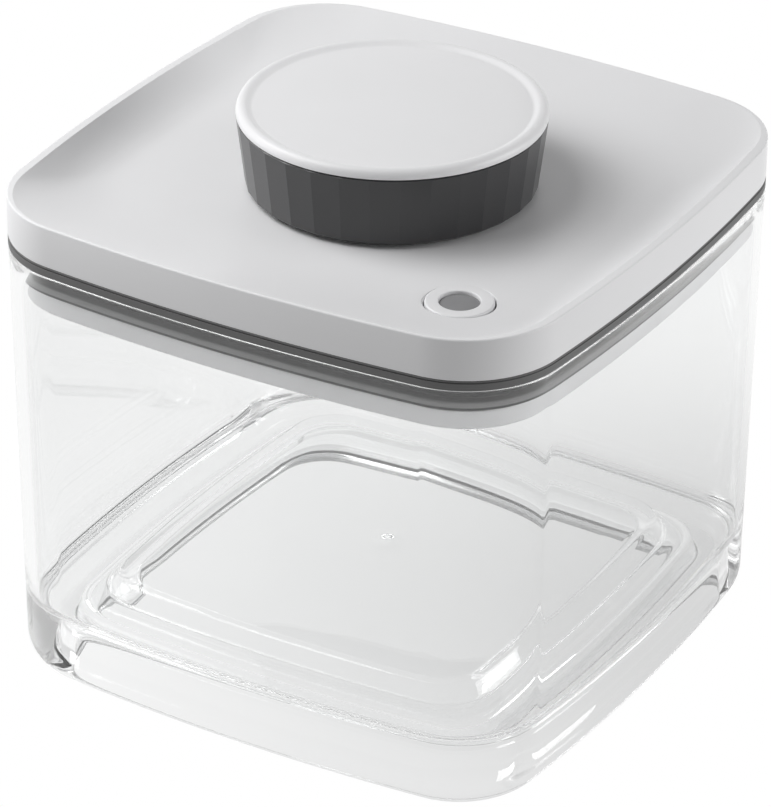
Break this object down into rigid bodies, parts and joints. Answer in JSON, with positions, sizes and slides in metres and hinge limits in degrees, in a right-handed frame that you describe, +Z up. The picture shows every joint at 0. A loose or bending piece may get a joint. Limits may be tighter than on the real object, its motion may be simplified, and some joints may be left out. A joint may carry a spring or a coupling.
{
  "type": "vacuum seal canister",
  "caption": "Clear square food canister with a gasketed pump lid: turning the knob draws air out, and the corner button lets it in again.",
  "frame": {"origin": "middle of the foot, on the surface that the canister stands on", "axes": "+Z up along the knob's axis, +X towards the side right of the release button, -Y towards the side left of it, so the button is in the (+X, -Y) corner"},
  "size_m": [0.132, 0.132, 0.1256],
  "materials": {
    "clear_body": "clear moulded plastic",
    "gasket_rubber": "matt silicone",
    "white_lid": "satin",
    "white_inner": "satin",
    "filter_mesh": "fine mesh",
    "inner_rubber": "matt",
    "screw_steel": "plated",
    "spring_steel": "drawn wire",
    "hub_plastic": "slippery, matt",
    "charcoal_grip": "satin, facetted",
    "white_cap": "satin",
    "white_button": "satin",
    "grey_silicone": "matt silicone"
  },
  "bodies": {
    "container": {"container": "clear_body"},
    "lid": {"lid_shell": "white_lid", "lid_tray": "white_inner", "rim_gasket": "gasket_rubber", "inlet_filter": "filter_mesh", "pump_cylinder": "white_inner", "cylinder_gasket": "inner_rubber", "cylinder_screws": "screw_steel", "inlet_valve": "inner_rubber", "piston_spring": "spring_steel", "bearing_washer": "hub_plastic", "valve_bush": "hub_plastic", "button_spring": "spring_steel"},
    "knob": {"cam_hub": "hub_plastic", "grip_ring": "charcoal_grip", "knob_cap": "white_cap", "knob_retainer": "hub_plastic"},
    "piston": {"piston": "white_inner", "piston_seal": "inner_rubber", "outlet_valve": "inner_rubber"},
    "button": {"release_button": "white_button", "valve_stem": "white_inner", "valve_seal": "inner_rubber"},
    "indicator": {"vacuum_indicator": "grey_silicone"}
  },
  "joints": [
    {"name": "lid_lift", "type": "slide", "parent": "container", "child": "lid", "axis": [0, 0, 1], "range_m": [0, 0.13]},
    {"name": "knob_turn", "type": "hinge", "parent": "lid", "child": "knob", "pos_m": [0, 0, 0.115], "axis": [0, 0, 1], "continuous": true},
    {"name": "piston_stroke", "type": "slide", "parent": "lid", "child": "piston", "axis": [0, 0, -1], "range_m": [0, 0.0028], "stiffness_N_per_m": 400, "springref_m": -0.004, "deforming": ["piston_spring"]},
    {"name": "button_press", "type": "slide", "parent": "lid", "child": "button", "axis": [0, 0, -1], "range_m": [0, 0.0015], "stiffness_N_per_m": 600, "springref_m": -0.002, "deforming": ["button_spring"]},
    {"name": "indicator_dip", "type": "slide", "parent": "button", "child": "indicator", "axis": [0, 0, -1], "range_m": [0, 0.001], "stiffness_N_per_m": 200, "springref_m": -0.0005}
  ]
}
